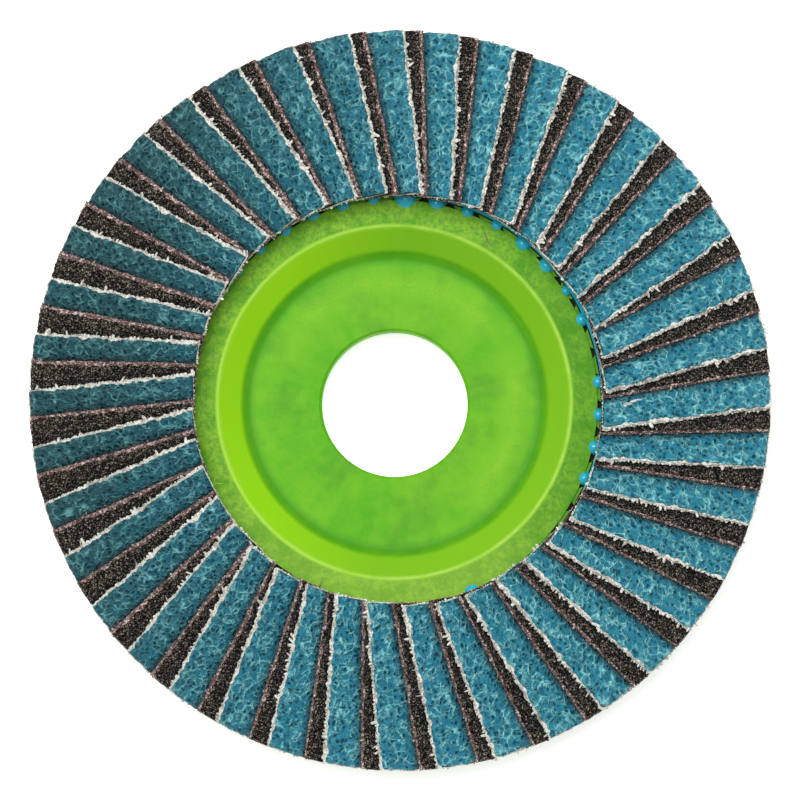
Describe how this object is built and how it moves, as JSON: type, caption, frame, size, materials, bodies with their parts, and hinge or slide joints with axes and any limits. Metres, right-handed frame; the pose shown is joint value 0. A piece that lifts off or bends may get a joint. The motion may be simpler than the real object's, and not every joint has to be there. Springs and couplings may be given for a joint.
{
  "type": "flap disc",
  "caption": "Conical grinding disc for an angle grinder: blue and dark abrasive cloth flaps glued like shingles round a green plastic backing plate with a plain bore.",
  "frame": {"origin": "on the bore's axis, in the hub's back face, which is also the lowest point", "axes": "+Z along the bore's axis towards the working side; +Y is the zero bearing of the flap ring"},
  "size_m": [0.1128, 0.1129, 0.017],
  "materials": {
    "green_plastic": "moulded translucent green plastic, satin, fine matte grain on the bare band",
    "teal_adhesive": "set teal epoxy, glossy beads",
    "blue_abrasive_cloth": "coarse blue abrasive grain on cream cotton cloth, frayed at the cut edges",
    "dark_abrasive_cloth": "brown-black abrasive grain on reddish-brown cloth"
  },
  "bodies": {
    "root": {"backing_plate": "green_plastic", "adhesive_bed": "teal_adhesive", "blue_flap_01": "blue_abrasive_cloth", "blue_flap_02": "blue_abrasive_cloth", "blue_flap_03": "blue_abrasive_cloth", "blue_flap_04": "blue_abrasive_cloth", "blue_flap_05": "blue_abrasive_cloth", "blue_flap_06": "blue_abrasive_cloth", "blue_flap_07": "blue_abrasive_cloth", "blue_flap_08": "blue_abrasive_cloth", "blue_flap_09": "blue_abrasive_cloth", "blue_flap_10": "blue_abrasive_cloth", "blue_flap_11": "blue_abrasive_cloth", "blue_flap_12": "blue_abrasive_cloth", "blue_flap_13": "blue_abrasive_cloth", "blue_flap_14": "blue_abrasive_cloth", "blue_flap_15": "blue_abrasive_cloth", "blue_flap_16": "blue_abrasive_cloth", "blue_flap_17": "blue_abrasive_cloth", "blue_flap_18": "blue_abrasive_cloth", "blue_flap_19": "blue_abrasive_cloth", "blue_flap_20": "blue_abrasive_cloth", "blue_flap_21": "blue_abrasive_cloth", "blue_flap_22": "blue_abrasive_cloth", "blue_flap_23": "blue_abrasive_cloth", "blue_flap_24": "blue_abrasive_cloth", "blue_flap_25": "blue_abrasive_cloth", "blue_flap_26": "blue_abrasive_cloth", "blue_flap_27": "blue_abrasive_cloth", "blue_flap_28": "blue_abrasive_cloth", "blue_flap_29": "blue_abrasive_cloth", "blue_flap_30": "blue_abrasive_cloth", "blue_flap_31": "blue_abrasive_cloth", "blue_flap_32": "blue_abrasive_cloth", "blue_flap_33": "blue_abrasive_cloth", "blue_flap_34": "blue_abrasive_cloth", "blue_flap_35": "blue_abrasive_cloth", "blue_flap_36": "blue_abrasive_cloth", "blue_flap_37": "blue_abrasive_cloth", "blue_flap_38": "blue_abrasive_cloth", "blue_flap_39": "blue_abrasive_cloth", "blue_flap_40": "blue_abrasive_cloth", "dark_flaps_01": "dark_abrasive_cloth", "dark_flaps_02": "dark_abrasive_cloth", "dark_flaps_03": "dark_abrasive_cloth", "dark_flaps_04": "dark_abrasive_cloth", "dark_flaps_05": "dark_abrasive_cloth", "dark_flaps_06": "dark_abrasive_cloth", "dark_flaps_07": "dark_abrasive_cloth", "dark_flaps_08": "dark_abrasive_cloth", "dark_flaps_09": "dark_abrasive_cloth", "dark_flaps_10": "dark_abrasive_cloth"}
  },
  "joints": []
}
